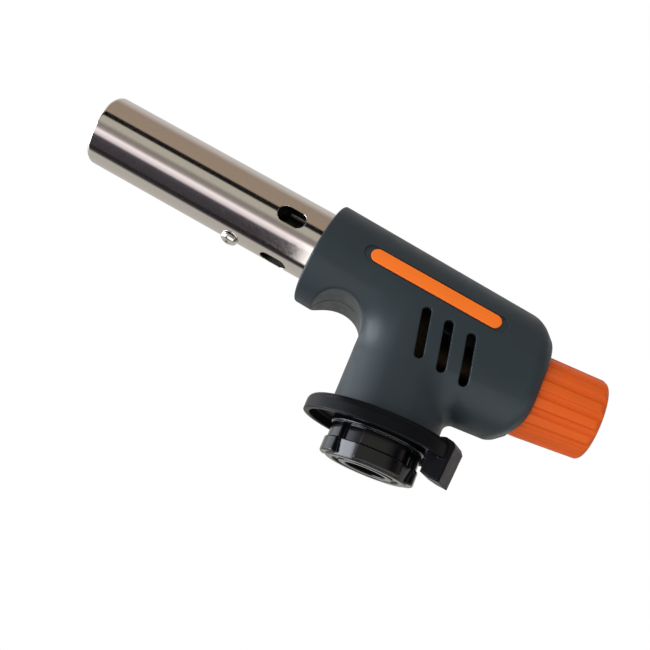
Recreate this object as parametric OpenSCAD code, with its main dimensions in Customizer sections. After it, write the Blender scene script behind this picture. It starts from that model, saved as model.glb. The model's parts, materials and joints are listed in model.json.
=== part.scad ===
// Hand-held gas torch for a bayonet cartridge.
// Frame: origin on the neck axis, level with the guide ring's lower rim.
// +Z runs up the neck, the flame leaves towards -X and the knob faces +X.
// The two shells meet on the plane y = 0.

/* [Flame tube] */
// Outside radius of the flame tube
tube_r = 11; // [9:0.5:12]
// Wall of the flame tube
tube_wall = 0.5; // [0.4:0.1:0.8]
// Distance from the neck axis to the mouth, along the tube
tube_reach = 112.7; // [105:0.1:125]
// Upward tilt of the tube, degrees
tube_tilt = 7.9; // [6:0.1:10]
// Height at which the tube axis crosses the neck axis
tube_height = 41.55; // [40:0.05:43]
// Length of an air slot
air_slot_length = 8.8; // [6:0.2:11]
// Width of an air slot
air_slot_width = 5.1; // [4:0.1:6]
// Turn of the air slots and the burner screw about the tube, degrees
slot_turn = 4; // [0:1:15]

/* [Housing] */
// Radius of the front barrel and half the width of the housing
barrel_r = 16.1; // [15.5:0.1:17]
// Downward slope of the barrel from front to back, degrees
barrel_tilt = 9.3; // [8:0.1:10]
// Wall of the two shells
shell_wall = 2; // [1.6:0.1:2.4]
// Radius of the neck
neck_r = 16; // [15.5:0.1:16.1]
// Radius of the finger notch under the barrel
notch_r = 8.5; // [7:0.1:9]
// Length of a vent slot
vent_length = 14.8; // [10:0.1:16]
// Width of a vent slot
vent_width = 2.6; // [2:0.1:3]
// Forward lean of the vent slots against the neck, degrees
vent_lean = 10.3; // [0:0.1:15]
// Length of the inlay plate
plate_length = 41; // [30:0.5:42]
// Width of the inlay plate
plate_width = 4.4; // [3:0.1:4.6]

/* [Knob] */
// Knob radius where it leaves the housing
knob_base_r = 12.55; // [11.5:0.05:12.7]
// Knob radius at its end
knob_end_r = 11.85; // [11:0.05:12.5]
// How far the knob stands out of the housing
knob_length = 18.8; // [16:0.1:24]
// Number of grip flutes
flute_count = 15; // [10:1:18]
// How far the knob is pushed in to spark
push_travel = 4.5; // [3:0.5:4.5]

/* [Cartridge end] */
// Outside radius of the guide ring
ring_r = 22.6; // [21:0.1:24]
// Radius over the bayonet lugs
lug_r = 14; // [13:0.1:14.2]
// Angle covered by one bayonet lug, degrees
lug_angle = 59; // [50:1:75]
// Lowest face of the plug
plug_bottom = -9.4; // [-11:0.1:-9]
// Bore for the cartridge's stem
stem_bore_r = 2.1; // [1.8:0.1:2.4]

/* [Hidden] */
$fn = 64;
eps = 0.01;
far = 60;
slip = 0.02;      // gap round a part that is pressed or screwed home
run = 0.05;       // radial gap round a part that turns

// Housing
barrel_front = [-35.75, 45.1];
neck_foot = 5.1;
lower_axis = 27.9;
rear_face = 36.2;
notch_centre = [-24.3, 25];
ring_gap_top = 11.8;
recess_depth = 0.6;
recess_margin = [2, 0.25];
plate_sink = 0.12;
plate_tilt = 8.2;
plate_centre = [-0.5, 43.05];
vent_along = [38.35, 45.4, 52.45];
vent_drop = -9.3;
// Shell screws: where each one stands in the side view
boss_spots = [[-10.5, 19], [25, 17.3], [25.2, 46], [-1, 49.3]];
boss_r = 2.8;
screw_r = 1.4;
screw_head_r = 2.6;
screw_seat = 9.5;
screw_head = 1.8;
pilot_depth = 8;

// Tube and burner, as distances along the tube from the neck axis
tube_rear = 32.2;
lip_r = 1.5;
air_slot_at = 46.9;
collar_lip = 33.8;      // front of the band round the tube's rear end
collar_lip_r = 12;
collar_plug = 38;       // front of the spigot inside the tube
collar_wall = 1.2;
collar_neck_r = 6.2;
collar_rear = 12;
collar_flange_r = 10.5;
screw_at = 61.6;
burner_screw_r = 1.5;
pipe_r = 3;
pipe_bore = 1.5;
holder_r = 5;
mixer_r = 5;
mixer_bore = 3.8;
mixer_rear = 57;
mixer_front = 91;
wire_offset = 7.6;
wire_r = 0.8;
wire_route = [[-6, 8, 42.3], [-1, 8.4, 41.6], [4, 7.6, 40.5], [7.6, 6.4, 39.3], [10, 5.2, 38.6], [12.5, 4.32, 38.3]];

// Valve and igniter
spindle_z = 28.3;
spindle_r = 2.5;
spindle_end = 48.2;
spindle_flat = 29;        // where the flat on the spindle starts
valve_r = 6.5;
gland_front = 20;
gland_back = 24;
knob_front = 33.2;
knob_wall = 1.8;
knob_hub_r = 5;
knob_flat = 1.5;
opening_r = 13;
piezo_z = 38.3;
piezo_box = [8.5, 28.2, 7, 7.8];     // front, back, width, height
plunger_size = [10.5, 4.4, 4.2];     // length, width, height

// Cartridge end
ring_height = 5;
ring_plate = 2.05;
ring_wall = 1.8;
ring_edge = 2;
journal_r = 13.5;
tab_width = 10;
tab_turn = 23;            // turn of the key from the knob side, degrees
ring_stand = 0.1;         // gap between the ring and the faces it turns between
lug_middle = 10.5;        // bearing of the first lug, degrees
lug_skirt = 0.5;          // height of the lugs above the plug's lowest face
core_r = 11.2;
lug_top = -4.6;
sleeve_r = 13.4;
socket_r = 6;
socket_top = -2.4;
fitting_r = 5;
fitting_foot = -1;
valve_foot = 8.5;
valve_top = 45.5;

function arc(centre, r, from, to, n) =
    [for (i = [0:n]) let (a = from + (to - from) * i / n) centre + r * [cos(a), sin(a)]];

// A slot outline with round ends, its length along X
module stadium(length, width) {
    square([length - width, width], center = true);
    for (side = [-1, 1]) translate([side * (length - width) / 2, 0]) circle(d = width);
}

// Puts a shape drawn along +Z on the tube axis, d in front of the neck axis, its +X upward
module on_tube(d) {
    translate([0, 0, tube_height]) rotate([0, tube_tilt - 90, 0]) translate([0, 0, d]) children();
}

// Lays a side-view drawing (x, z) through the housing along Y, between y0 and y1
module side_view(y0, y1) {
    translate([0, y1, 0]) rotate([90, 0, 0]) linear_extrude(y1 - y0) children();
}

// A cylinder along +X from x0 to x1 at height z
module along_x(x0, x1, z, r, r_end = undef) {
    translate([x0, 0, z]) rotate([0, 90, 0])
        cylinder(h = x1 - x0, r1 = r, r2 = is_undef(r_end) ? r : r_end);
}

// ---- Housing ----

// Side outline that rounds the rear end and squares the front face to the tube
module side_limit(inset) {
    nose = [for (h = [-far, far])
        barrel_front + inset * [cos(tube_tilt), -sin(tube_tilt)]
            + h * [sin(tube_tilt), cos(tube_tilt)]];
    top = [[27.4, 51.1], [29.4, 50.6], [31.1, 49.8], [35.2, 46.6], [35.95, 45.7], [rear_face, 44.8]];
    bottom = [[rear_face, 16.9], [35.9, 15.9], [35.1, 15.1], [32.4, 13.1], [30.8, 12.2], [28.6, ring_gap_top]];
    polygon(concat(
        [nose[0], nose[1], [20, far]],
        [for (p = top) p - [inset, 0.7 * inset]],
        [for (p = bottom) p + [-inset, 0.7 * inset]],
        [[20, -far]]));
}

// Plan outline that rounds the two rear edges
module plan_limit(inset) {
    half = barrel_r - inset;
    back = rear_face - inset;
    polygon(concat(
        [[-far, half + 1], [back - 8, half + 1]],
        [[back - 6.5, half]],
        arc([back - 5, half - 5], 5, 80, 0, 5),
        arc([back - 5, 5 - half], 5, 0, -80, 5),
        [[back - 6.5, -half]],
        [[back - 8, -half - 1], [-far, -half - 1]]));
}

// Solid shape of the housing, drawn in from its skin by inset
module housing_form(inset) {
    r = barrel_r - inset;
    slope = tan(barrel_tilt);
    axis_at = barrel_front[1] + barrel_front[0] * slope;
    intersection() {
        union() {
            translate([0, 0, axis_at]) rotate([0, barrel_tilt, 0])
                translate([-50, 0, 0]) rotate([0, 90, 0]) cylinder(h = 100, r = r);
            side_view(-r, r)
                polygon([[0, lower_axis], [far, lower_axis], [far, axis_at - far * slope], [0, axis_at]]);
            along_x(0, far, lower_axis, r);
            translate([0, 0, inset > 0 ? neck_foot - 1 : neck_foot]) cylinder(h = 30, r = neck_r - inset);
        }
        side_view(-far, far) side_limit(inset);
        linear_extrude(height = far * 2) plan_limit(inset);
        union() {
            translate([-far, -far, ring_gap_top + inset]) cube([2 * far, 2 * far, far]);
            cylinder(h = 20, r = neck_r - inset);
        }
    }
}

// The finger notch, grown by extra
module notch(extra) {
    side_view(-far, far) translate(notch_centre) circle(r = notch_r + extra);
}

module plate_outline(length, width) {
    side_view(-far, far) translate(plate_centre) rotate(-plate_tilt) stadium(length, width);
}

module vents() {
    side_view(-far, far)
        for (s = vent_along) translate(barrel_front) rotate(-barrel_tilt)
            translate([s, vent_drop]) rotate(90 + barrel_tilt + vent_lean) stadium(vent_length, vent_width);
}

// Everything that both shells share before they are split
module hollow_housing() {
    difference() {
        housing_form(0);
        difference() {
            housing_form(shell_wall);
            notch(shell_wall);
        }
        notch(0);
        difference() {
            plate_outline(plate_length + 2 * recess_margin[0], plate_width + 2 * recess_margin[1]);
            housing_form(recess_depth);
        }
        vents();
        on_tube(25) cylinder(h = 30, r = tube_r + 0.3);
        along_x(rear_face - 6, far, spindle_z, opening_r);
        translate([0, 0, 8.5]) cylinder(h = 1.8, r = journal_r + 1.5);
    }
}

// Ribs that hold the collar, the valve and the igniter
module ribs() {
    intersection() {
        housing_form(shell_wall / 2);
        union() {
            for (d = [collar_rear - 1.7, collar_rear + 2.1]) difference() {
                on_tube(d) cylinder(h = 1.6, r = 30);
                on_tube(5) cylinder(h = 20, r = 9);
                translate([-far, -far, 0]) cube([2 * far, 2 * far, 34]);
            }
            difference() {
                translate([9, -far, 12]) cube([1.5, 2 * far, 21.8]);
                along_x(5, 15, spindle_z, valve_r - 0.5 + slip);
            }
            for (x = [11, 20]) translate([x, -far, piezo_z + piezo_box[3] / 2 + slip])
                cube([1.5, 2 * far, far]);
        }
    }
}

module bosses() {
    intersection() {
        housing_form(shell_wall / 2);
        side_view(-far, far) for (spot = boss_spots) translate(spot) circle(r = boss_r);
    }
}

module left_shell() {
    color([0.19, 0.22, 0.24])
    intersection() {
        difference() {
            union() { hollow_housing(); ribs(); bosses(); }
            side_view(-pilot_depth, far) for (spot = boss_spots) translate(spot) circle(r = screw_r + slip);
            vents();
        }
        translate([-far, -2 * far, 0]) cube([2 * far, 2 * far, 2 * far]);
    }
}

module right_shell() {
    color([0.19, 0.22, 0.24])
    intersection() {
        difference() {
            union() { hollow_housing(); ribs(); bosses(); }
            side_view(-far, far) for (spot = boss_spots) translate(spot) circle(r = screw_r + 0.1);
            side_view(screw_seat, far) for (spot = boss_spots) translate(spot) circle(r = screw_head_r + 0.2);
            vents();
        }
        translate([-far, 0, 0]) cube([2 * far, 2 * far, 2 * far]);
    }
}

// side = -1 for the left plate, 1 for the right plate
module plate(side) {
    color([0.92, 0.38, 0.08])
    intersection() {
        difference() {
            intersection() {
                plate_outline(plate_length, plate_width);
                housing_form(plate_sink);
            }
            housing_form(recess_depth);
        }
        translate([-far, side > 0 ? 0 : -2 * far, 0]) cube([2 * far, 2 * far, 2 * far]);
    }
}

module shell_screws() {
    color("silver")
    for (spot = boss_spots) difference() {
        union() {
            side_view(-pilot_depth + 1, screw_seat + 0.5) translate(spot) circle(r = screw_r);
            side_view(screw_seat, screw_seat + screw_head) translate(spot) circle(r = screw_head_r);
        }
        side_view(screw_seat + screw_head - 1, far) translate(spot) cross_recess(2.6, 0.6);
    }
}

// A cross recess outline
module cross_recess(length, width) {
    square([length, width], center = true);
    square([width, length], center = true);
}

// ---- Flame tube and burner ----

module flame_tube() {
    inner = tube_r - tube_wall;
    lip_out = arc([tube_r - lip_r, tube_reach - lip_r], lip_r, 0, 110, 6);
    lip_in = arc([tube_r - lip_r, tube_reach - lip_r], lip_r - tube_wall, 110, 0, 6);
    color([0.72, 0.70, 0.68])
    difference() {
        on_tube(0) rotate_extrude()
            polygon(concat([[inner, tube_rear], [tube_r, tube_rear]], lip_out, lip_in));
        on_tube(air_slot_at) for (k = [0:3]) rotate([0, 0, slot_turn + 90 * k])
            rotate([0, 90, 0]) linear_extrude(tube_r + 5) stadium(air_slot_length, air_slot_width);
        on_tube(screw_at) rotate([0, 0, 180 + slot_turn])
            rotate([0, 90, 0]) cylinder(h = tube_r + 5, r = burner_screw_r + slip);
    }
}

// Collar that grips the tube's rear end, with a narrow neck above the finger notch
module tube_collar() {
    color([0.12, 0.12, 0.13])
    on_tube(0) difference() {
        union() {
            translate([0, 0, tube_rear - collar_wall])
                cylinder(h = collar_lip - tube_rear + collar_wall, r = collar_lip_r);
            translate([0, 0, collar_rear]) cylinder(h = tube_rear - collar_rear, r = collar_neck_r);
            translate([0, 0, collar_rear]) cylinder(h = 2, r = collar_flange_r);
            translate([0, 0, tube_rear]) cylinder(h = collar_plug - tube_rear, r = tube_r - tube_wall - slip);
        }
        translate([0, 0, tube_rear]) difference() {
            cylinder(h = far, r = tube_r + slip);
            translate([0, 0, -1]) cylinder(h = far, r = tube_r - tube_wall - slip);
        }
        translate([0, 0, tube_rear]) cylinder(h = far, r = tube_r - tube_wall - 1.3);
        cylinder(h = far, r = pipe_r + slip);
        translate([0, wire_offset, 0]) cylinder(h = far, r = 1.1);
    }
}

module tube_screw() {
    color([0.78, 0.77, 0.75])
    on_tube(screw_at) rotate([0, 0, 180 + slot_turn]) rotate([0, 90, 0])
    difference() {
        union() {
            translate([0, 0, 7]) cylinder(h = tube_r - 6.9, r = burner_screw_r);
            translate([0, 0, tube_r + slip]) rotate_extrude()
                polygon(concat([[0, 0], [2.75, 0], [2.75, 0.5]], arc([1.35, 0.5], 1.4, 20, 80, 4), [[0, 1.95]]));
        }
        translate([0, 0, tube_r + 1]) linear_extrude(3) cross_recess(2.8, 0.6);
    }
}

module mixing_tube() {
    ring_from = screw_at - 2.6;
    color([0.76, 0.62, 0.34])
    on_tube(0) difference() {
        union() {
            translate([0, 0, mixer_rear]) cylinder(h = mixer_front - mixer_rear, r = mixer_r);
            translate([0, 0, mixer_rear]) cylinder(h = 3, r1 = 6.4, r2 = mixer_r);
            translate([0, 0, ring_from]) cylinder(h = 5.2, r = tube_r - tube_wall - slip);
        }
        translate([0, 0, mixer_rear - 1]) cylinder(h = far, r = mixer_bore);
        translate([0, 0, mixer_rear - eps]) cylinder(h = 2.4, r1 = 5.6, r2 = mixer_bore);
        for (k = [0:3]) rotate([0, 0, 45 + 90 * k]) translate([wire_offset, 0, 0])
            cylinder(h = 100, r = 1.9);
        translate([0, wire_offset, 0]) cylinder(h = 100, r = 1.6 + slip);
        translate([0, 0, screw_at]) rotate([0, 0, 180 + slot_turn]) translate([6.5, 0, 0])
            rotate([0, 90, 0]) cylinder(h = 10, r = burner_screw_r + slip);
    }
}

module flame_holder() {
    color([0.70, 0.58, 0.34])
    on_tube(mixer_front - 3) difference() {
        union() {
            cylinder(h = 3, r = tube_r - tube_wall - 0.1);
            translate([0, 0, 3]) cylinder(h = 1.2, r = 6.2);
        }
        translate([0, 0, -1]) cylinder(h = 4, r = mixer_r + slip);
        for (k = [0:5]) rotate([0, 0, 60 * k]) translate([2.9, 0, 0]) cylinder(h = 6, r = 0.9);
        cylinder(h = 6, r = 1.1);
        for (k = [1:9]) rotate([0, 0, 90 + 36 * k]) translate([8.3, 0, -1]) cylinder(h = 6, r = 1.1);
        translate([0, wire_offset, -1]) cylinder(h = 6, r = 1.6 + slip);
    }
}

module jet_holder() {
    color([0.25, 0.24, 0.22])
    on_tube(40) difference() {
        union() {
            cylinder(h = 9, r = holder_r);
            translate([0, 0, 9]) cylinder(h = 2, r1 = holder_r, r2 = holder_r - 1.2);
        }
        translate([0, 0, -1]) cylinder(h = 5, r = pipe_r + slip);
        cylinder(h = 6.5, r = pipe_bore);
        translate([0, 0, 6.5]) cylinder(h = 5, r = 2 + slip);
    }
}

module jet_nozzle() {
    color([0.80, 0.65, 0.30])
    on_tube(46.6) difference() {
        union() {
            cylinder(h = 4.5, r = 2);
            translate([0, 0, 4.5]) cylinder(h = 2.2, r = 3, $fn = 6);
            translate([0, 0, 6.7]) cylinder(h = 1.2, r1 = 1.8, r2 = 1);
        }
        translate([0, 0, -1]) cylinder(h = 7, r = 0.9);
        cylinder(h = 9, r = 0.2);
    }
}

module gas_pipe() {
    color([0.76, 0.62, 0.34])
    on_tube(3) difference() {
        cylinder(h = 41, r = pipe_r);
        translate([0, 0, -1]) cylinder(h = 50, r = pipe_bore);
    }
}

module electrode_insulator() {
    color([0.93, 0.92, 0.88])
    on_tube(59) translate([0, wire_offset, 0]) difference() {
        cylinder(h = 35, r = 1.6);
        translate([0, 0, -1]) cylinder(h = 40, r = 0.6);
    }
}

module electrode() {
    color([0.55, 0.54, 0.52])
    on_tube(0) {
        translate([0, wire_offset, 57]) cylinder(h = 42.4, r = 0.55);
        translate([0, wire_offset, 99.4]) sphere(r = 0.55);
        translate([0, wire_offset, 99.4]) rotate([90, 0, 0]) cylinder(h = 3.2, r = 0.55);
    }
}

// A wire through the listed points, none of its runs vertical. At each point its section stands
// square to the mean direction of the two runs that meet there.
module wire(route, r, sides = 8) {
    last = len(route) - 1;
    function unit(v) = v / norm(v);
    headings = [for (i = [0:last])
        unit(unit(route[min(i + 1, last)] - route[min(i, last - 1)])
            + unit(route[max(i, 1)] - route[max(i - 1, 0)]))];
    rings = [for (i = [0:last]) let (across = unit(cross(headings[i], [0, 0, 1])), up = cross(across, headings[i]))
        for (k = [0:sides - 1]) route[i] + r * (across * cos(360 * k / sides) + up * sin(360 * k / sides))];
    walls = [for (i = [0:last - 1]) for (k = [0:sides - 1])
        let (n = (k + 1) % sides) [i * sides + k, (i + 1) * sides + k, (i + 1) * sides + n, i * sides + n]];
    polyhedron(rings, concat(walls,
        [[for (k = [0:sides - 1]) k], [for (k = [sides - 1:-1:0]) last * sides + k]]));
}

// Lead from the igniter through the collar to the electrode
module ignition_wire() {
    front = [-56.9 * cos(tube_tilt), wire_offset, tube_height + 56.9 * sin(tube_tilt)];
    back = [-10.5 * cos(tube_tilt), wire_offset, tube_height + 10.5 * sin(tube_tilt)];
    color([0.85, 0.84, 0.80])
    wire(concat([front, back], wire_route), wire_r);
}

// ---- Igniter ----

module piezo_body() {
    length = piezo_box[1] - piezo_box[0];
    color([0.10, 0.10, 0.11])
    difference() {
        translate([piezo_box[0], -piezo_box[2] / 2, piezo_z - piezo_box[3] / 2])
            cube([length, piezo_box[2], piezo_box[3]]);
        translate([17.9, -plunger_size[1] / 2 - 0.15, piezo_z - plunger_size[2] / 2 - 0.15])
            cube([20, plunger_size[1] + 0.3, plunger_size[2] + 0.3]);
    }
}

module piezo_plunger() {
    color([0.82, 0.16, 0.12])
    translate([knob_front - 0.1 - plunger_size[0], -plunger_size[1] / 2, piezo_z - plunger_size[2] / 2])
        cube(plunger_size);
}

// ---- Valve ----

module valve_body() {
    color([0.78, 0.66, 0.36])
    difference() {
        union() {
            translate([0, 0, valve_foot]) cylinder(h = valve_top - valve_foot, r = valve_r);
            along_x(0, gland_front, spindle_z, valve_r - 0.5);
        }
        translate([0, 0, valve_foot - 1]) cylinder(h = 35.5, r = pipe_bore);
        translate([0, 0, valve_foot - 1]) cylinder(h = 3.5, r = 2.3 + slip);
        translate([0, 0, valve_foot]) rotate_extrude() translate([3.2, -eps]) square([1.7, 1.45]);
        on_tube(0.2) cylinder(h = 20, r = pipe_bore - 0.2);
        on_tube(3 - eps) cylinder(h = 20, r = pipe_r + slip);
        along_x(0.4, far, spindle_z, spindle_r + run);
        along_x(16, far, spindle_z, 4.4 + slip);
    }
}

module valve_spindle() {
    color([0.70, 0.68, 0.62])
    difference() {
        union() {
            along_x(2.2, 5.2, spindle_z, 0.4, spindle_r);
            along_x(5.2, spindle_end, spindle_z, spindle_r);
        }
        translate([spindle_flat, -far, spindle_z + knob_flat]) cube([far, 2 * far, far]);
        translate([spindle_end - 1, 0, spindle_z]) rotate([0, 90, 0])
            linear_extrude(5) square([0.7, 6], center = true);
    }
}

module spindle_o_ring() {
    color([0.06, 0.06, 0.06])
    translate([17.1, 0, spindle_z]) rotate([0, 90, 0])
        rotate_extrude() translate([spindle_r + run + 0.9, 0]) circle(r = 0.88, $fn = 24);
}

module gland_nut() {
    color([0.80, 0.68, 0.38])
    difference() {
        union() {
            along_x(18.1, gland_front, spindle_z, 4.4);
            translate([gland_front, 0, spindle_z]) rotate([0, 90, 0])
                cylinder(h = gland_back - gland_front, r = 5.3, $fn = 6);
        }
        along_x(10, far, spindle_z, spindle_r + run);
    }
}

module inlet_fitting() {
    color([0.80, 0.68, 0.38])
    difference() {
        translate([0, 0, fitting_foot]) cylinder(h = valve_foot - fitting_foot, r = fitting_r);
        translate([0, 0, fitting_foot - 1]) cylinder(h = 9, r = stem_bore_r);
        cylinder(h = 20, r = 1.2);
    }
}

module inlet_filter() {
    color([0.62, 0.48, 0.30])
    translate([0, 0, valve_foot + 0.1]) cylinder(h = 2.3, r = 2.3);
}

module inlet_o_ring() {
    color([0.06, 0.06, 0.06])
    translate([0, 0, valve_foot + 0.72]) rotate_extrude() translate([4.05, 0]) circle(r = 0.7, $fn = 24);
}

// ---- Knob ----

module knob() {
    base = rear_face;
    tip = rear_face + knob_length;
    color([0.85, 0.36, 0.09])
    difference() {
        translate([0, 0, spindle_z]) rotate([0, 90, 0]) rotate_extrude()
            polygon(concat(
                [[0, knob_front], [knob_base_r - 0.3, knob_front], [knob_base_r, knob_front + 0.5],
                 [knob_base_r, base]],
                arc([knob_end_r - 1.2, tip - 1.2], 1.2, 0, 90, 4),
                [[0, tip]]));
        along_x(knob_front + 1.8, tip - knob_wall, spindle_z, knob_end_r - knob_wall - 0.9);
        for (k = [0:flute_count - 1]) translate([0, 0, spindle_z]) rotate([k * 360 / flute_count, 0, 0])
            translate([knob_front - 1, 0, knob_base_r + 0.15]) rotate([0, 92, 0]) cylinder(h = 30, r = 0.95);
        knob_bore();
    }
    color([0.85, 0.36, 0.09])
    difference() {
        along_x(knob_front + 1, tip - 1, spindle_z, knob_hub_r);
        knob_bore();
    }
}

// Bore with a flat that carries the spindle round but lets the knob slide
module knob_bore() {
    flat = knob_flat + 0.1;
    intersection() {
        along_x(knob_front - 1, spindle_end + push_travel + 0.4, spindle_z, spindle_r + 0.1);
        union() {
            translate([0, -far, spindle_z - far + flat]) cube([far, 2 * far, far]);
            translate([0, -far, 0]) cube([knob_front + 1.2, 2 * far, 2 * far]);
        }
    }
}

// ---- Cartridge end ----

module guide_ring() {
    color([0.09, 0.10, 0.11])
    union() {
        rotate_extrude() polygon(concat(
            [[journal_r + run, ring_height - ring_plate], [ring_r - ring_wall, ring_height - ring_plate],
             [ring_r - ring_wall, 0], [ring_r, 0]],
            arc([ring_r - ring_edge, ring_height - ring_edge], ring_edge, 0, 90, 5),
            [[journal_r + run, ring_height]]));
        rotate([0, 0, -tab_turn]) tab();
    }
}

// Key that hangs from the ring and finds the notch in the cartridge's collar
module tab() {
    half = tab_width / 2;
    intersection() {
        side_view(-half, half)
            polygon([[16.6, -4.3], [19.2, -5], [22.6, -5.9], [23.5, 4], [22.7, 5.3], [20.2, 6],
                     [17.6, 5.4], [16.6, 4.4]]);
        translate([0, 0, -10]) linear_extrude(20)
            polygon([[10, -half], [22.7, -half], [23.7, 1 - half], [23.7, half - 1], [22.7, half], [10, half]]);
    }
}

module bayonet_plug() {
    journal_foot = ring_height - ring_plate - ring_stand;
    color([0.13, 0.13, 0.14])
    difference() {
        union() {
            translate([0, 0, journal_foot - eps]) cylinder(h = 11.9 - journal_foot, r = journal_r);
            translate([0, 0, 8.6]) cylinder(h = 1.6, r = journal_r + 1.4);
            translate([0, 0, ring_stand]) cylinder(h = journal_foot - ring_stand, r = journal_r + 1.1);
            translate([0, 0, lug_top]) cylinder(h = 5.5, r = core_r + 0.5);
            translate([0, 0, plug_bottom + lug_skirt])
                cylinder(h = lug_top - plug_bottom - lug_skirt, r1 = core_r + 0.9, r2 = core_r + 1.6);
            translate([0, 0, plug_bottom]) cylinder(h = 1.2, r = core_r + 0.9);
            for (k = [0:3]) rotate([0, 0, 90 * k - lug_angle / 2 + lug_middle]) rotate_extrude(angle = lug_angle)
                polygon([[core_r - 0.5, 0.8], [sleeve_r, 0.8], [sleeve_r, lug_top + 0.5], [lug_r, lug_top],
                         [lug_r, plug_bottom + lug_skirt + 0.5], [lug_r - 0.5, plug_bottom + lug_skirt],
                         [core_r - 0.5, plug_bottom + lug_skirt]]);
        }
        translate([0, 0, plug_bottom - 1]) cylinder(h = socket_top - plug_bottom + 1, r = socket_r);
        translate([0, 0, socket_top - 1]) cylinder(h = 2.4, r = 5.4);
        translate([0, 0, -2]) cylinder(h = 20, r = fitting_r + slip);
        translate([0, 0, valve_foot - slip]) cylinder(h = 20, r = valve_r + slip);
    }
}

module plug_seal() {
    color([0.07, 0.07, 0.07])
    translate([0, 0, socket_top]) difference() {
        cylinder(h = 1.38, r = 5.38);
        translate([0, 0, -1]) cylinder(h = 4, r = stem_bore_r + 0.2);
    }
}

left_shell();
right_shell();
plate(-1);  // left_plate
plate(1);  // right_plate
shell_screws();
flame_tube();
tube_collar();
tube_screw();
flame_holder();
mixing_tube();
jet_nozzle();
jet_holder();
gas_pipe();
electrode();
electrode_insulator();
ignition_wire();
piezo_body();
piezo_plunger();
valve_body();
valve_spindle();
spindle_o_ring();
gland_nut();
inlet_fitting();
inlet_filter();
inlet_o_ring();
knob();
guide_ring();
bayonet_plug();
plug_seal();
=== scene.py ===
"""Looks of a hand-held gas torch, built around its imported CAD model.

Shapes are worked out in the CAD model's millimetres and turned into metres when a mesh is made.
-X is the flame end, +X the knob, +Z runs up the neck and the two shells part on y = 0.
"""
import json
import math

import bpy
import numpy as np
from mathutils import Matrix, Vector


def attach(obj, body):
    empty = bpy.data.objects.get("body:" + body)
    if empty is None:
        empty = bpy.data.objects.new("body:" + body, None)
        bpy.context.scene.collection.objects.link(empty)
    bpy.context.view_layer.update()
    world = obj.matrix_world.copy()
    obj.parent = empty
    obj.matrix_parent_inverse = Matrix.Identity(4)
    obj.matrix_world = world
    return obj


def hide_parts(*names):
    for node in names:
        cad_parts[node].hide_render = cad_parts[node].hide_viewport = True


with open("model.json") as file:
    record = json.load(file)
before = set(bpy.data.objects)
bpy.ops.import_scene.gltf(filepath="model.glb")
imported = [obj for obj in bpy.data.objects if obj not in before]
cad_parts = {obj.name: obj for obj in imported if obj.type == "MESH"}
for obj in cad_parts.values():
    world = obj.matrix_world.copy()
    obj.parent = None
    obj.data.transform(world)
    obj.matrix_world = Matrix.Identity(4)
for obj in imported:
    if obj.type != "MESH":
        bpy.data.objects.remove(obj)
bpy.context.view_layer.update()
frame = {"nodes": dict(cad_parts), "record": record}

MM = 0.001

# ---------------------------------------------------------------- sizes, in millimetres
TUBE_TILT = math.radians(7.9)
TUBE_HEIGHT = 41.55
TUBE_R = 11.0
TUBE_WALL = 0.5
TUBE_REACH = 112.7
TUBE_REAR = 32.2
LIP_R = 1.5
AIR_SLOT_AT = 46.9
AIR_SLOT = (8.8, 5.1)
SLOT_TURN = math.radians(4)
SCREW_AT = 61.6
SCREW_HOLE_R = 1.52
SCREW_HEAD = (2.75, 1.95)

BARREL_FRONT = (-35.75, 45.1)
BARREL_R = 16.1
BARREL_TILT = math.radians(9.3)
NECK_R = 16.0
NECK_FOOT = 5.1
NECK_TOP = 42
LOWER_AXIS = 27.9
LOWER_FROM = -9
LOWER_LENGTH = 14
FRONT_FILLET = 5.0
REAR_FILLET_LESS = 2.2
SIDE_FILLET_MORE = (10.0, 4.0)
REAR_FACE = 36.2
REAR_CORNER_R = 3.2
REAR_EDGE_R = 1.1
FRONT_EDGE_R = 0.8
INNER_CORNER_R = 0.4
INNER_EDGE_R = 0.25
CHAMFER_NORMAL = (0.787, 0.617)
CHAMFER_START = 29.0
CHAMFER_SIDE_SHIFT = 4.0
UNDER_NORMAL = (0.515, -0.857)
UNDER_POINT = (29.2, 11.75)
NOTCH = (-24.3, 25.0, 8.5)
SHELL_WALL = 2.0
PARTING_GAP = 0.05
PLATE_CENTRE = (-0.5, 43.05)
PLATE_TILT = math.radians(8.2)
PLATE = (41.0, 4.4)
RECESS_MARGIN = (2.0, 0.25)
RECESS_DEPTH = 0.6
VENTS_AT = (38.35, 45.4, 52.45)
VENT_DROP = -9.3
VENT_LEAN = math.radians(10.3)
VENT = (14.8, 2.6)
BOSSES = ((-10.5, 19.0), (25.0, 17.3), (25.2, 46.0), (-1.0, 49.3))
BOSS_R = 2.8
SCREW_SEAT = 9.5
SCREW_R = 1.5
HEAD_R = 2.85
TUBE_PLAY = 0.3
TUBE_SEAT = 30

KNOB_Z = 28.3
KNOB_FRONT = 33.2
KNOB_TIP = 55.0
KNOB_BASE_R = 12.55
KNOB_END_R = 11.85
FLUTES = 15
FLUTE_R = 1.35
FLUTE_DEPTH = 0.9
SPINDLE_HOLE = (2.6, 53.1)
OPENING_R = 13.0
OPENING_DEPTH = 8.2

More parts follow.
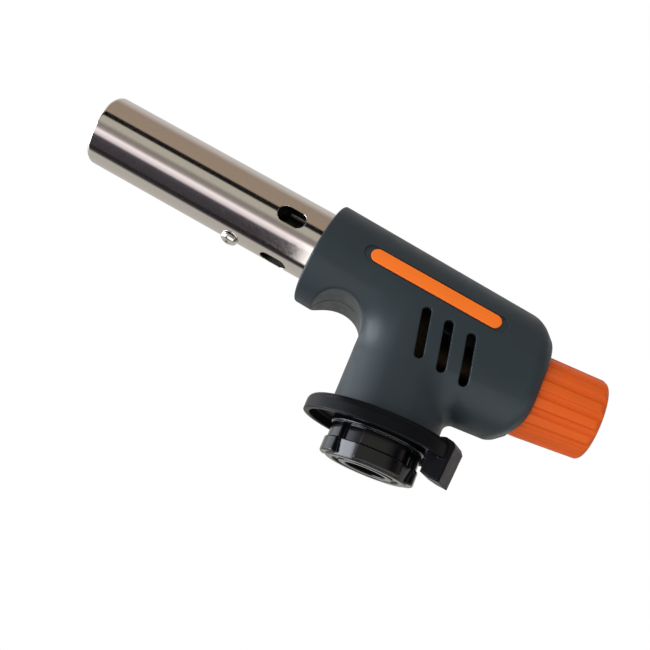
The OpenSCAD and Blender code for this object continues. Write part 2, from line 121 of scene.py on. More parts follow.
RING_R = 22.6
RING_WALL = 1.8
RING_PLATE = 2.05
RING_TOP = 5.0
JOURNAL_R = 13.5
FLANGE_Z = 9.4
FLANGE_WIDTH = 1.4
TAB_WIDTH = 10.0
TAB_TURN = math.radians(23)
TAB_OUTLINE = (
    (16.6, -5.2), (19.2, -5.9), (22.6, -6.4), (23.5, 4.0),
    (22.7, 5.3), (20.2, 6.0), (17.6, 5.4), (16.6, 4.4),
)
LUG_R = 14.0
SLEEVE_R = 13.4
CORE_R = 11.7
RIM_R = 12.1
SOCKET_R = 6.0
SOCKET_TOP = -2.4
LUG_TOP = -4.6
LUG_FOOT = -8.9
LUG_MIDDLE = math.radians(10.5)
LUG_HALF = math.radians(29.5)
PLUG_TOP = 11.9
PLUG_BOTTOM = -9.4


# ---------------------------------------------------------------- distance fields
def length2(a, b):
    return np.sqrt(a * a + b * b)


def cut(a, b, r):
    """Intersection of two fields with its edge rounded to radius r."""
    return np.minimum(-r, np.maximum(a, b)) + length2(np.maximum(r + a, 0), np.maximum(r + b, 0))


def join(a, b, r):
    """Union of two fields with a fillet of radius r."""
    return -cut(-a, -b, r)


def fillet(a, b, cosine, r):
    """Union with a fillet of constant radius r, where the surfaces' normals meet at that cosine."""
    c = np.clip(cosine, -0.999, 0.999)
    u, v = r - a, r - b
    in_wedge = (u - c * v > 0) & (v - c * u > 0) & (u > 0) & (v > 0)
    rounded = r - np.sqrt(np.maximum(u * u + v * v - 2 * c * u * v, 0) / (1 - c * c))
    return np.where(in_wedge, np.minimum(rounded, np.minimum(a, b)), np.minimum(a, b))


def rod(a, b, r):
    """Cylinder of radius r, from its two coordinates square to the axis."""
    return length2(a, b) - r


def slab(a, half):
    return np.abs(a) - half


def slot_shape(u, v, size):
    """Outline with round ends, its length along u."""
    reach = (size[0] - size[1]) / 2
    return length2(np.maximum(np.abs(u) - reach, 0), v) - size[1] / 2


def convex(u, v, points):
    """Inside of a convex outline whose points run anticlockwise."""
    sides = []
    for (u0, v0), (u1, v1) in zip(points, points[1:] + points[:1]):
        size = math.hypot(u1 - u0, v1 - v0)
        sides.append(((u - u0) * (v1 - v0) - (v - v0) * (u1 - u0)) / size)
    return np.max(sides, axis=0)


def smooth_step(t):
    t = np.clip(t, 0, 1)
    return t * t * (3 - 2 * t)


# ---------------------------------------------------------------- meshing
def crossing_cells(values):
    """Per cell: the sum and the count of the zero crossings on its edges, and the edges themselves."""
    shape = np.array(values.shape) - 1
    total = np.zeros((*shape, 3), np.float32)
    count = np.zeros(shape, np.uint8)
    edges = []
    for axis in range(3):
        low = np.take(values, range(shape[axis]), axis)
        high = np.take(values, range(1, shape[axis] + 1), axis)
        crossed = (low < 0) != (high < 0)
        edges.append((crossed, low < 0))
        at = np.argwhere(crossed)
        a = low[crossed]
        point = at.astype(np.float32)
        point[:, axis] += a / (a - high[crossed])
        others = [i for i in range(3) if i != axis]
        for step_1 in (0, 1):
            for step_2 in (0, 1):
                cell = at.copy()
                cell[:, others[0]] -= step_1
                cell[:, others[1]] -= step_2
                ok = (cell >= 0).all(1) & (cell < shape).all(1)
                index = tuple(cell[ok].T)
                np.add.at(total, index, point[ok])
                np.add.at(count, index, 1)
    return total, count, edges


def surface_net(field, low, high, step):
    """Vertices and quads of the field's zero level: a closed surface, negative inside."""
    axes = [np.arange(low[i], high[i] + step, step) for i in range(3)]
    grid = np.meshgrid(*axes, indexing="ij")
    values = field(*grid).astype(np.float32)
    total, count, edges = crossing_cells(values)
    used = count > 0
    number = np.full(count.shape, -1, np.int64)
    number[used] = np.arange(used.sum())
    points = total[used] / count[used][:, None] * step + np.array(low)
    quads = []
    for axis, (crossed, low_inside) in enumerate(edges):
        a, b = [i for i in range(3) if i != axis]
        at = np.argwhere(crossed)
        around = []
        for da, db in ((1, 1), (0, 1), (0, 0), (1, 0)):
            cell = at.copy()
            cell[:, a] -= da
            cell[:, b] -= db
            around.append(number[tuple(cell.T)])
        faces = np.stack(around, 1)
        forward = low_inside[crossed] == (axis != 1)
        faces[~forward] = faces[~forward][:, ::-1]
        quads.append(faces)
    return settle(field, points.astype(float), step), np.concatenate(quads)


def gradient(field, p, h=0.02):
    """Unit normals of the field at points p, and the field's slope there."""
    g = np.stack([
        field(*(p + h * np.eye(3)[i]).T) - field(*(p - h * np.eye(3)[i]).T) for i in range(3)
    ], 1) / (2 * h)
    size = np.maximum(np.linalg.norm(g, axis=1), 1e-6)
    return g / size[:, None], size


def settle(field, p, step, rounds=3):
    """Moves the points on to the field's zero level."""
    for _ in range(rounds):
        normal, slope = gradient(field, p)
        move = np.clip(field(*p.T) / slope, -0.5 * step, 0.5 * step)
        p = p - normal * move[:, None]
    return p


def mesh_object(name, points, faces):
    """A Blender object from points in millimetres."""
    mesh = bpy.data.meshes.new(name)
    mesh.from_pydata((np.asarray(points) * MM).tolist(), [], [list(map(int, f)) for f in faces])
    mesh.update()
    obj = bpy.data.objects.new(name, mesh)
    bpy.context.scene.collection.objects.link(obj)
    return obj


UPRIGHT = (np.eye(3), np.zeros(3))


def field_object(name, field, low, high, step, place=UPRIGHT):
    """The zero level of a field as an object: drawn in the field's own axes, then put in its place.

    Shading normals come from the field, so facets don't show.
    """
    points, quads = surface_net(field, low, high, step)
    turn, centre = place
    obj = mesh_object(name, points @ turn.T + centre, quads)
    mesh = obj.data
    co = np.empty(len(mesh.vertices) * 3, np.float32)
    mesh.vertices.foreach_get("co", co)
    normal, _ = gradient(field, (co.reshape(-1, 3) / MM - centre) @ turn)
    mesh.polygons.foreach_set("use_smooth", [True] * len(mesh.polygons))
    mesh.normals_split_custom_set_from_vertices((normal @ turn.T).tolist())
    return obj


# ---------------------------------------------------------------- housing
def barrel_axis(x):
    return BARREL_FRONT[1] - math.tan(BARREL_TILT) * (x - BARREL_FRONT[0])


def housing_skin(x, y, z):
    """The housing's outer skin, still open at both ends."""
    upper = barrel_axis(x)
    lower = upper + (LOWER_AXIS - upper) * smooth_step((x - LOWER_FROM) / LOWER_LENGTH)
    off = z - np.clip(z, np.minimum(lower, upper), upper)
    reach = np.maximum(length2(y, off), 1e-6)
    body = (reach - BARREL_R) * math.cos(BARREL_TILT) ** 0.5
    round_neck = np.maximum(length2(x, y), 1e-6)
    neck = np.maximum(round_neck - NECK_R, z - NECK_TOP)
    meeting = y * y / (reach * round_neck)
    rear = smooth_step((x - 2) / 6)
    beside = smooth_step((np.abs(y) - 6) / 9)
    radius = FRONT_FILLET - REAR_FILLET_LESS * rear
    radius = radius + (SIDE_FILLET_MORE[0] - SIDE_FILLET_MORE[1] * rear) * beside
    return fillet(body, neck, meeting, radius)


def front_plane(x, z):
    """Distance in front of the barrel's front face."""
    return (-(x - BARREL_FRONT[0]) * math.cos(TUBE_TILT)
            + (z - BARREL_FRONT[1]) * math.sin(TUBE_TILT))


def housing_ends(skin, x, y, z, inset=0.0):
    """Closes the skin with its chamfered and rounded back, and with its front face.

    An inset moves all of them inwards, for the hollow. The skin has to be inset already.
    """
    edge = INNER_EDGE_R if inset else REAR_EDGE_R
    side_share = smooth_step(np.abs(y) / BARREL_R)
    behind = x - CHAMFER_START - CHAMFER_SIDE_SHIFT * side_share
    chamfer = CHAMFER_NORMAL[0] * (skin - inset) + CHAMFER_NORMAL[1] * behind
    under = UNDER_NORMAL[0] * (x - UNDER_POINT[0]) + UNDER_NORMAL[1] * (z - UNDER_POINT[1])
    side = np.abs(y) - BARREL_R
    corner = cut(side, x - REAR_FACE, INNER_CORNER_R if inset else REAR_CORNER_R)
    solid = cut(cut(skin, chamfer + inset, edge), under + inset, edge)
    solid = cut(solid, corner + inset, edge)
    return cut(solid, front_plane(x, z) + inset, INNER_EDGE_R if inset else FRONT_EDGE_R)


def tube_coordinates(x, y, z):
    """Distance in front of the neck axis, along the tube, then up and across."""
    c, s = math.cos(TUBE_TILT), math.sin(TUBE_TILT)
    up = z - TUBE_HEIGHT
    return -x * c + up * s, x * s + up * c, y


def barrel_coordinates(x, z, tilt=BARREL_TILT, start=BARREL_FRONT):
    c, s = math.cos(tilt), math.sin(tilt)
    dx, dz = x - start[0], z - start[1]
    return dx * c - dz * s, dx * s + dz * c


def vent(u, v):
    """A vent slot, from its middle along and square to the barrel. It leans forward of the neck."""
    c, s = math.cos(VENT_LEAN + BARREL_TILT), math.sin(VENT_LEAN + BARREL_TILT)
    return slot_shape(v * c - u * s, u * c + v * s, VENT)


def around_bosses(x, z, radius):
    return np.min([rod(x - bx, z - bz, radius) for bx, bz in BOSSES], axis=0)


def shell_field(side):
    """The half of the housing on that side of y = 0, as a field."""
    def field(x, y, z):
        skin = housing_skin(x, y, z)
        outside = housing_ends(skin, x, y, z)
        foot = NECK_FOOT - z
        outside = cut(outside, foot, 0.5)
        notch = rod(x - NOTCH[0], z - NOTCH[1], NOTCH[2])
        outside = cut(outside, -notch, 0.7)
        hollow = housing_ends(skin + SHELL_WALL, x, y, z, SHELL_WALL)
        hollow = np.maximum(hollow, SHELL_WALL - notch)
        along, up, across = tube_coordinates(x, y, z)
        hollow = cut(hollow, -around_bosses(x, z, BOSS_R), 0.4)
        solid = np.maximum(outside, -hollow)
        # Recess of the inlay plate
        u, v = barrel_coordinates(x, z, PLATE_TILT, PLATE_CENTRE)
        size = (PLATE[0] + 2 * RECESS_MARGIN[0], PLATE[1] + 2 * RECESS_MARGIN[1])
        recess = np.maximum(slot_shape(u, v, size), -(skin + RECESS_DEPTH))
        solid = cut(solid, -recess, 0.25)
        # Vent slots
        u, v = barrel_coordinates(x, z)
        vents = np.min([vent(u - at, v - VENT_DROP) for at in VENTS_AT], axis=0)
        solid = cut(solid, -vents, 0.35)
        # Openings for the tube, the knob and the plug
        tube = np.maximum(rod(up, across, TUBE_R + TUBE_PLAY), TUBE_SEAT - along)
        solid = cut(solid, -tube, 0.3)
        knob = np.maximum(rod(y, z - KNOB_Z, OPENING_R), REAR_FACE - OPENING_DEPTH - x)
        solid = cut(solid, -knob, 0.5)
        flange = np.maximum(rod(x, y, JOURNAL_R + FLANGE_WIDTH + 0.1), slab(z - FLANGE_Z, 0.9))
        solid = np.maximum(solid, -flange)
        if side > 0:
            holes = around_bosses(x, z, SCREW_R)
            heads = np.maximum(around_bosses(x, z, HEAD_R), SCREW_SEAT - y)
            solid = cut(solid, -np.minimum(holes, heads), 0.3)
        return cut(solid, PARTING_GAP - side * y, 0.22)
    return field


def make_shell(name, side):
    low = (-40.5, -17.0, 4.0) if side < 0 else (-40.5, -0.6, 4.0)
    high = (37.5, 0.6, 62.5) if side < 0 else (37.5, 17.0, 62.5)
    step = 0.32
    shell = field_object(name, shell_field(side), low, high, step)
    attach(shell, "housing")
    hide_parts(name)
    return shell


def plate_field(side):
    def field(x, y, z):
        skin = housing_skin(x, y, z)
        u, v = barrel_coordinates(x, z, PLATE_TILT, PLATE_CENTRE)
        shape = slot_shape(u, v, PLATE)
        slice_ = np.maximum(cut(skin + 0.05, shape, 0.3), -(skin + RECESS_DEPTH - 0.02))
        return np.maximum(slice_, 5 - side * y)
    return field


def make_plate(name, side):
    low = (-22.5, -17.0, 37.0) if side < 0 else (-22.5, 13.0, 37.0)
    high = (21.5, -13.0, 49.0) if side < 0 else (21.5, 17.0, 49.0)
    plate = field_object(name, plate_field(side), low, high, 0.25)
    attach(plate, "housing")
    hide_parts(name)
    return plate


# ---------------------------------------------------------------- flame tube
def tube_place():
    """Takes (up, across, along) on the tube's axis into the frame, in millimetres."""
    c, s = math.cos(TUBE_TILT), math.sin(TUBE_TILT)
    return np.array([[s, 0, -c], [0, 1, 0], [c, 0, s]]), np.array([0, 0, TUBE_HEIGHT])


def tube_field(up, across, along):
    """The flame tube: thin wall, lip rolled in at the mouth, air slots and the screw's hole."""
    radius = length2(up, across)
    bend = TUBE_REACH - LIP_R
    in_lip = length2(np.maximum(radius - (TUBE_R - LIP_R), 0), np.maximum(along - bend, 0)) - LIP_R
    outer = np.where(along > bend, in_lip, radius - TUBE_R)
    wall = np.maximum(outer, -(outer + TUBE_WALL))
    wall = np.maximum(wall, (TUBE_R - LIP_R - 0.3) - radius)
    wall = np.maximum(wall, TUBE_REAR - along)
    turn = math.pi / 2
    angle = np.mod(np.arctan2(across, up) - SLOT_TURN + turn / 2, turn) - turn / 2
    round_slot = slot_shape(along - AIR_SLOT_AT, radius * np.sin(angle), AIR_SLOT)
    wall = cut(wall, -round_slot, 0.12)
    below = np.arctan2(-across, -up) - SLOT_TURN
    hole = rod(along - SCREW_AT, radius * below, SCREW_HOLE_R)
    return np.where(np.abs(below) < 1, np.maximum(wall, -hole), wall)


def make_flame_tube():
    edge = TUBE_R + 0.6
    step = 0.24
    tube = field_object("flame_tube", tube_field, (-edge, -edge, TUBE_REAR - 0.5),
                        (edge, edge, TUBE_REACH + 0.5), step, tube_place())
    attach(tube, "housing")
    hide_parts("flame_tube")
    return tube


def scorch_inside(tube):
    """Gives the tube's inner wall its darker, flame-marked metal."""
    turn, centre = tube_place()
    tube.data.materials.append(MATERIALS["scorched"])
    for face in tube.data.polygons:
        up, across, along = turn.T @ (np.array(face.center) / MM - centre)
        normal = turn.T @ np.array(face.normal)
        inward = normal[0] * up + normal[1] * across < 0
        if inward and along < TUBE_REACH - LIP_R:
            face.material_index = 1


def screw_head_field(x, y, z):
    """Pan head with a cross recess, its seat at z = 0."""
    radius, height = SCREW_HEAD
    flank = rod(x, y, radius)
    dome = np.sqrt(x * x + y * y + (z - height + 4.4) ** 2) - 4.4
    head = cut(cut(flank, dome, 0.5), -z, 0.15)
    arm = np.minimum(np.maximum(slab(x, 1.4), slab(y, 0.32)), np.maximum(slab(y, 1.4), slab(x, 0.32)))
    head = cut(head, -np.maximum(arm, height - 1.0 - z), 0.1)
    shank = np.maximum(rod(x, y, 1.5), np.maximum(z - 0.5, -1.9 - z))
    return np.minimum(head, shank)


def make_tube_screw():
    turn, centre = tube_place()
    down = (-math.cos(SLOT_TURN), -math.sin(SLOT_TURN))
    axis = turn @ np.array([down[0], down[1], 0])
    along = turn @ np.array([0, 0, 1.0])
    place = np.stack([along, np.cross(axis, along), axis], 1)
    seat = centre + turn @ np.array([down[0] * (TUBE_R + 0.02), down[1] * (TUBE_R + 0.02), SCREW_AT])
    screw = field_object("tube_screw", screw_head_field, (-3, -3, -2.1), (3, 3, 2.2), 0.1, (place, seat))
    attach(screw, "housing")
    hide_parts("tube_screw")
    return screw


# ---------------------------------------------------------------- knob
def knob_field(x, y, z):
    radius = np.maximum(length2(y, z - KNOB_Z), 1e-6)
    taper = (KNOB_BASE_R - KNOB_END_R) / (KNOB_TIP - REAR_FACE)
    out = KNOB_BASE_R - taper * np.maximum(x - REAR_FACE, 0)
    body = cut(radius - out, x - KNOB_TIP, 2.0)
    body = cut(body, KNOB_FRONT - x, 0.5)
    pitch = 2 * math.pi / FLUTES
    angle = np.mod(np.arctan2(y, z - KNOB_Z) + pitch / 2, pitch) - pitch / 2
    centre = out + FLUTE_R - FLUTE_DEPTH
    flute = rod(radius * np.cos(angle) - centre, radius * np.sin(angle), FLUTE_R)
    body = cut(body, -flute, 0.25)
    dimple = rod(x - KNOB_TIP - 16.0, radius, 16.6)
    body = cut(body, -np.maximum(dimple, radius - 9.5), 0.3)
    hole_r, hole_end = SPINDLE_HOLE
    return np.maximum(body, -np.maximum(radius - hole_r, x - hole_end))


def make_knob():
    edge = KNOB_BASE_R + 0.5
    step = 0.26
    knob = field_object("knob", knob_field, (KNOB_FRONT - 0.5, -edge, KNOB_Z - edge),
                        (KNOB_TIP + 0.5, edge, KNOB_Z + edge), step)
    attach(knob, "knob")
    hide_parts("knob")
    return knob


# ---------------------------------------------------------------- guide ring and bayonet plug
def ring_field(x, y, z):
    radius = length2(x, y)
    cup = cut(cut(radius - RING_R, z - RING_TOP, 2.0), -z, 0.3)
    hollow = cut(radius - (RING_R - RING_WALL), z - (RING_TOP - RING_PLATE), 0.5)
    cup = cut(cup, -hollow, 0.25)
    c, s = math.cos(TAB_TURN), math.sin(TAB_TURN)
    out, side = x * c - y * s, x * s + y * c
    tab = cut(convex(out, z, TAB_OUTLINE), slab(side, TAB_WIDTH / 2), 0.5)
    whole = join(cup, tab, 0.4)
    return cut(whole, -(radius - JOURNAL_R - 0.05), 0.2)


def make_guide_ring():
    edge = RING_R + 2.0
    step = 0.3
    ring = field_object("guide_ring", ring_field, (-edge, -edge, -6.6), (edge, edge, 6.6), step)
    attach(ring, "guide_ring")
    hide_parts("guide_ring")
    return ring


def plug_field(x, y, z):
    radius = np.maximum(length2(x, y), 1e-6)
    quarter = math.pi / 2
    angle = np.mod(np.arctan2(y, x) - LUG_MIDDLE + quarter / 2, quarter) - quarter / 2
    flank = radius * (np.abs(np.sin(angle)) * math.cos(LUG_HALF) - np.cos(angle) * math.sin(LUG_HALF))
    sleeve = cut(radius - SLEEVE_R, z - 0.8, 0.3)
    lug = cut(radius - LUG_R, z - LUG_TOP, 0.3)
    lug = cut(np.minimum(sleeve, lug), flank, 0.35)
    lug = cut(lug, LUG_FOOT - z, 0.5)
    lower = radius - RIM_R - 0.7 * np.clip((z - LUG_FOOT) / (LUG_TOP - LUG_FOOT), 0, 1)
    lower = cut(lower, z - LUG_TOP, 0.2)
    core = np.minimum(lower, np.maximum(radius - CORE_R, z - 1))
    core = cut(core, PLUG_BOTTOM - z, 0.4)
    groove = np.maximum(slab(radius - 9.0, 0.9), z - PLUG_BOTTOM - 0.7)
    core = cut(core, -groove, 0.2)
    shoulder = cut(radius - JOURNAL_R - 0.4, np.abs(z - 1.475) - 1.375, 0.3)
    journal = np.maximum(radius - JOURNAL_R, np.maximum(z - PLUG_TOP, -z))
    flange = np.maximum(radius - JOURNAL_R - FLANGE_WIDTH, slab(z - FLANGE_Z, 0.8))
    solid = np.min([lug, core, shoulder, journal, flange], axis=0)
    socket = cut(radius - SOCKET_R, z - SOCKET_TOP, 0.3)
    bore = np.minimum(radius - 5.02, np.maximum(radius - 5.4, z - SOCKET_TOP - 1.4))
    valve = np.maximum(radius - 6.52, 8.5 - z)
    return cut(solid, -np.min([socket, bore, valve], axis=0), 0.25)


def make_plug():
    edge = JOURNAL_R + 2.0
    step = 0.25
    plug = field_object("bayonet_plug", plug_field, (-edge, -edge, PLUG_BOTTOM - 0.5),
                        (edge, edge, PLUG_TOP + 0.5), step)
    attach(plug, "housing")
    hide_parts("bayonet_plug")
    return plug


# ---------------------------------------------------------------- materials
# Noise per metre, and depths in metres
SHADE_SCALE = 45
GLOSS_SCALE = 300
GLOSS_CHANGE = 0.05
GRAIN_SCALE = 2600
GRAIN_DEPTH = 0.00006
SCRATCH_SCALE = 900
SCRATCH_DEPTH = 0.00002


def new_material(name):
    material = bpy.data.materials.new(name)
    material.use_nodes = True
    nodes, links = material.node_tree.nodes, material.node_tree.links
    return material, nodes, links, nodes["Principled BSDF"]


def noise(nodes, links, scale, detail):
    """A noise texture of scale per metre, fixed to the object."""
    place = nodes.new("ShaderNodeTexCoord")
    texture = nodes.new("ShaderNodeTexNoise")
    links.new(place.outputs["Object"], texture.inputs["Vector"])
    texture.inputs["Scale"].default_value = scale
    texture.inputs["Detail"].default_value = detail
    return texture


def ramp(nodes, links, source, stops):
    node = nodes.new("ShaderNodeValToRGB")
    elements = node.color_ramp.elements
    while len(elements) < len(stops):
        elements.new(0.5)
    for element, (position, colour) in zip(elements, stops):
        element.position = position
        element.color = (*colour, 1.0)
    links.new(source, node.inputs["Fac"])
    return node.outputs["Color"]


def bump(nodes, links, source, shader, strength, distance):
    node = nodes.new("ShaderNodeBump")
    node.inputs["Strength"].default_value = strength
    node.inputs["Distance"].default_value = distance
    links.new(source, node.inputs["Height"])
    links.new(node.outputs["Normal"], shader.inputs["Normal"])


def plastic(name, colour, roughness, grain=0.25, variation=0.12, specular=0.5):
    """Moulded plastic: fine grain in the surface and a slow change of shade."""
    material, nodes, links, shader = new_material(name)
    shade = noise(nodes, links, SHADE_SCALE, 3)
    dark = tuple(c * (1 - variation) for c in colour)
    light = tuple(c * (1 + variation) for c in colour)
    links.new(ramp(nodes, links, shade.outputs["Fac"], [(0.35, dark), (0.65, light)]),
              shader.inputs["Base Color"])
    gloss = noise(nodes, links, GLOSS_SCALE, 4)
    low, high = roughness - GLOSS_CHANGE, roughness + GLOSS_CHANGE
    links.new(ramp(nodes, links, gloss.outputs["Fac"], [(0.3, (low,) * 3), (0.7, (high,) * 3)]),
              shader.inputs["Roughness"])
    shader.inputs["Specular IOR Level"].default_value = specular
    moulded = noise(nodes, links, GRAIN_SCALE, 3)
    bump(nodes, links, moulded.outputs["Fac"], shader, grain, GRAIN_DEPTH)
    return material


def metal(name, colour, roughness, scale=SCRATCH_SCALE, strength=0.12, variation=0.08):
    """Metal with fine marks, which change its shade, its gloss and its surface."""
    material, nodes, links, shader = new_material(name)
    shader.inputs["Metallic"].default_value = 1.0
    marks = noise(nodes, links, scale, 4)
    dark = tuple(c * (1 - variation) for c in colour)
    light = tuple(min(1, c * (1 + variation)) for c in colour)
    links.new(ramp(nodes, links, marks.outputs["Fac"], [(0.3, dark), (0.7, light)]),
              shader.inputs["Base Color"])
    low, high = max(0.02, roughness * 0.75), roughness * 1.3
    links.new(ramp(nodes, links, marks.outputs["Fac"], [(0.3, (low,) * 3), (0.7, (high,) * 3)]),
              shader.inputs["Roughness"])
    bump(nodes, links, marks.outputs["Fac"], shader, strength, SCRATCH_DEPTH)
    return material


MATERIALS = {
    "housing": plastic("housing_plastic", (0.021, 0.032, 0.038), 0.44, specular=0.28, variation=0.06),
    "inlay": plastic("inlay_plastic", (0.92, 0.175, 0.008), 0.3,
                     grain=0.08, variation=0.03, specular=0.3),
    "knob_plastic": plastic("knob_plastic", (0.70, 0.10, 0.004), 0.42,
                            grain=0.2, variation=0.05, specular=0.25),
    "ring_plastic": plastic("ring_plastic", (0.0035, 0.004, 0.0055), 0.34, specular=0.10),
    "plug_plastic": plastic("plug_plastic", (0.0035, 0.004, 0.0055), 0.15, grain=0.05, specular=0.4),
    "black_plastic": plastic("black_plastic", (0.016, 0.016, 0.018), 0.4),
    "red_plastic": plastic("red_plastic", (0.45, 0.02, 0.015), 0.4),
    "seal_rubber": plastic("seal_rubber", (0.012, 0.012, 0.012), 0.65),
    # Sleeve grey set darker than the real sleeve as painted shade, so it reads dark through the vents.
    "wire_sleeve": plastic("wire_sleeve", (0.10, 0.10, 0.10), 0.5),
    "ceramic": plastic("ceramic", (0.80, 0.78, 0.72), 0.2, grain=0.05, variation=0.03),
    "stainless": metal("polished_stainless", (0.66, 0.63, 0.60), 0.075, strength=0.008, variation=0.02),
    "scorched": metal("scorched_steel", (0.10, 0.085, 0.075), 0.45),
    "screw_steel": metal("plated_screw", (0.70, 0.68, 0.65), 0.22),
    "dark_metal": metal("blackened_metal", (0.055, 0.052, 0.05), 0.4),
    # Brass colour set far darker than real brass as painted shade, so the valve seen through the vents
    # reads dark.
    "brass": metal("brass_darkened_as_painted_shade", (0.05, 0.036, 0.02), 0.5),
    "bronze_filter": metal("sintered_bronze", (0.42, 0.27, 0.13), 0.6, scale=3000, strength=0.5),
}


def paint(obj, slot):
    obj.data.materials.clear()
    obj.data.materials.append(MATERIALS[slot])


# ---------------------------------------------------------------- camera and studio
CAMERA_LENS = 49.846
CAMERA_SENSOR = 36
CAMERA_AT = (-4.98, -252.97, -39.24)
CAMERA_RIGHT = (0.92472, -0.01939, 0.38003)
CAMERA_UP = (-0.37180, -0.25865, 0.89150)
NEAR_CLIP = 0.01


def make_camera():
    camera = bpy.data.cameras.new("camera")
    camera.lens = CAMERA_LENS
    camera.sensor_width = CAMERA_SENSOR
    camera.clip_start = NEAR_CLIP
    obj = bpy.data.objects.new("camera", camera)
    right = Vector(CAMERA_RIGHT)
    up = Vector(CAMERA_UP)
    turn = Matrix((right, up, right.cross(up))).transposed()
    obj.matrix_world = Matrix.Translation(Vector(CAMERA_AT) * MM) @ turn.to_4x4()
    bpy.context.scene.collection.objects.link(obj)
    bpy.context.scene.camera = obj


def spread(nodes, links, source, low, high):
    """Runs a value smoothly from 0 to 1 while the source goes from low to high."""
    node = nodes.new("ShaderNodeMapRange")
    node.interpolation_type = "SMOOTHSTEP"
    node.inputs["From Min"].default_value = low
    node.inputs["From Max"].default_value = high
    links.new(source, node.inputs["Value"])
    return node.outputs["Result"]


def combine(nodes, links, operation, a, b):
    node = nodes.new("ShaderNodeMath")
    node.operation = operation
    for socket, value in zip(node.inputs, (a, b)):
        if isinstance(value, (int, float)):
            socket.default_value = value
        else:
            links.new(value, socket)
    return node.outputs["Value"]


def facing(nodes, links, direction, towards):
    """How far a direction looks towards a fixed one, as a cosine."""
    node = nodes.new("ShaderNodeVectorMath")
    node.operation = "DOT_PRODUCT"
    links.new(direction, node.inputs[0])
    node.inputs[1].default_value = tuple(Vector(towards).normalized())
    return node.outputs["Value"]


def mix_colours(nodes, links, share, a, b):
    node = nodes.new("ShaderNodeMix")
    node.data_type = "RGBA"
    links.new(share, node.inputs["Factor"])
    for socket, value in ((node.inputs["A"], a), (node.inputs["B"], b)):
        if isinstance(value, tuple):
            socket.default_value = (*value, 1.0)
        else:
            links.new(value, socket)
    return node.outputs["Result"]


# Bearings round the flame tube, in degrees from the front (-Y) upwards, with what stands there
STUDIO = (
    (-180, (0.62, 0.59, 0.55)),
    (-112, (0.60, 0.58, 0.54)),
    (-104, (0.055, 0.048, 0.055)),
    (-92, (0.018, 0.015, 0.017)),
    (-84, (0.055, 0.048, 0.055)),
    (-60, (0.065, 0.058, 0.068)),
    (-50, (0.11, 0.095, 0.12)),
    (-43, (0.95, 0.86, 0.89)),
    (-31, (1.35, 1.25, 1.28)),
    (-22, (0.42, 0.37, 0.36)),
    (-12, (0.30, 0.27, 0.25)),
    (0, (0.60, 0.57, 0.49)),
    (16, (0.58, 0.56, 0.48)),
    (20, (0.008, 0.007, 0.007)),
    (32, (0.008, 0.007, 0.007)),
    (36, (0.44, 0.34, 0.26)),
    (88, (0.42, 0.33, 0.26)),
    (112, (0.68, 0.64, 0.62)),
    (180, (0.72, 0.69, 0.66)),
)


GAP_COLOUR = (1.9, 1.84, 1.8)
GAP_ALONG = (0.181, 0.169)
GAP_FROM = (0.235, 0.265)
GAP_TO = (0.44, 0.41)
WINDOW_TOWARDS = (-0.92, 0.12, 0.05)
WINDOW_COLOUR = (1.9, 2.0, 2.2)
STRIP_TOWARDS = (-0.97, -0.20, -0.12)
STRIP_COLOUR = (10.0, 10.4, 11.4)
KEY_TOWARDS = (-0.70, -0.50, -0.15)
KEY_COLOUR = (1.5, 1.51, 1.55)
FILL_COLOUR = (0.26, 0.265, 0.27)
BACKDROP = (1.0, 1.0, 1.0)


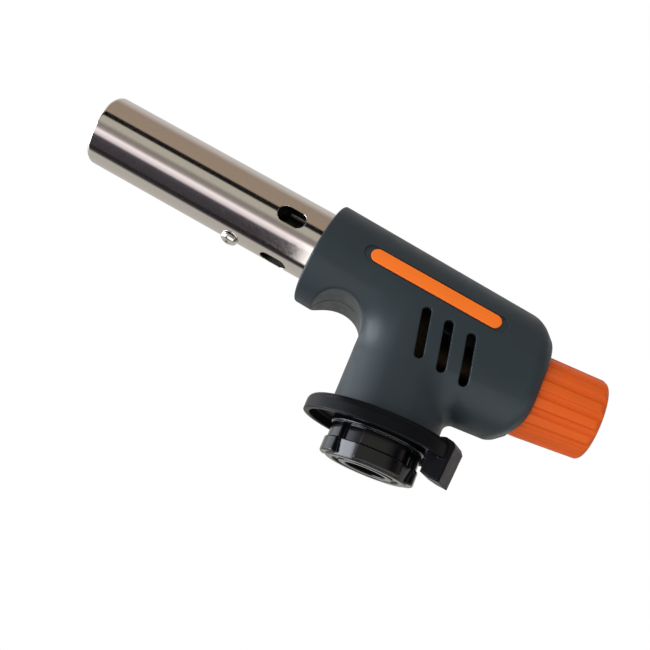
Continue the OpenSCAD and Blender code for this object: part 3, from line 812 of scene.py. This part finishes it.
def make_world():
    """White to the camera; soft light from the front and the flame side; cards to reflect."""
    world = bpy.data.worlds.new("studio")
    bpy.context.scene.world = world
    world.use_nodes = True
    nodes, links = world.node_tree.nodes, world.node_tree.links
    background = nodes["Background"]
    direction = nodes.new("ShaderNodeTexCoord").outputs["Generated"]
    c, s = math.cos(TUBE_TILT), math.sin(TUBE_TILT)
    # Cards that the tube reflects, by their bearing round it
    up = facing(nodes, links, direction, (s, 0, c))
    front = facing(nodes, links, direction, (0, -1, 0))
    bearing = combine(nodes, links, "ARCTAN2", up, front)
    share = combine(nodes, links, "MULTIPLY_ADD", bearing, 1 / (2 * math.pi))
    share.node.inputs[2].default_value = 0.5
    stops = [((angle + 180) / 360, colour) for angle, colour in STUDIO]
    cards = ramp(nodes, links, share, stops)
    # A bright gap where the dark card ends, seen in the tube just in front of the housing
    along = facing(nodes, links, direction, (-c, 0, s))
    beside = spread(nodes, links, along, *GAP_ALONG)
    above = spread(nodes, links, share, *GAP_FROM)
    below = spread(nodes, links, share, *GAP_TO)
    gap = combine(nodes, links, "MULTIPLY", beside, combine(nodes, links, "MULTIPLY", above, below))
    cards = mix_colours(nodes, links, gap, cards, GAP_COLOUR)
    # Window on the flame side, for the neck's flank and the finger notch
    window = spread(nodes, links, facing(nodes, links, direction, WINDOW_TOWARDS), 0.72, 0.93)
    cards = mix_colours(nodes, links, window, cards, WINDOW_COLOUR)
    # Narrow card on the flame side, for the plug's lower faces and the lugs' edges
    low = spread(nodes, links, facing(nodes, links, direction, (0, 0, 1)), 0.05, -0.06)
    side = spread(nodes, links, facing(nodes, links, direction, STRIP_TOWARDS), 0.80, 0.93)
    strip = combine(nodes, links, "MULTIPLY", low, side)
    cards = mix_colours(nodes, links, strip, cards, STRIP_COLOUR)
    # Light that the dull surfaces gather
    key = spread(nodes, links, facing(nodes, links, direction, KEY_TOWARDS), -0.5, 1.0)
    soft = mix_colours(nodes, links, key, FILL_COLOUR, KEY_COLOUR)
    path = nodes.new("ShaderNodeLightPath")
    seen = mix_colours(nodes, links, path.outputs["Is Glossy Ray"], soft, cards)
    seen = mix_colours(nodes, links, path.outputs["Is Camera Ray"], seen, BACKDROP)
    links.new(seen, background.inputs["Color"])


make_camera()
make_world()
bpy.context.scene.view_settings.view_transform = "Standard"

slots = {s["node"]: s["material_slot"] for s in frame["record"]["subparts"]}
for cad_node, obj in frame["nodes"].items():
    paint(obj, slots[cad_node])

for shell, side in (("left_shell", -1), ("right_shell", 1)):
    paint(make_shell(shell, side), "housing")
for plate, side in (("left_plate", -1), ("right_plate", 1)):
    paint(make_plate(plate, side), "inlay")
flame_tube = make_flame_tube()
paint(flame_tube, "stainless")
scorch_inside(flame_tube)
paint(make_tube_screw(), "screw_steel")
paint(make_knob(), "knob_plastic")
paint(make_guide_ring(), "ring_plastic")
paint(make_plug(), "plug_plastic")
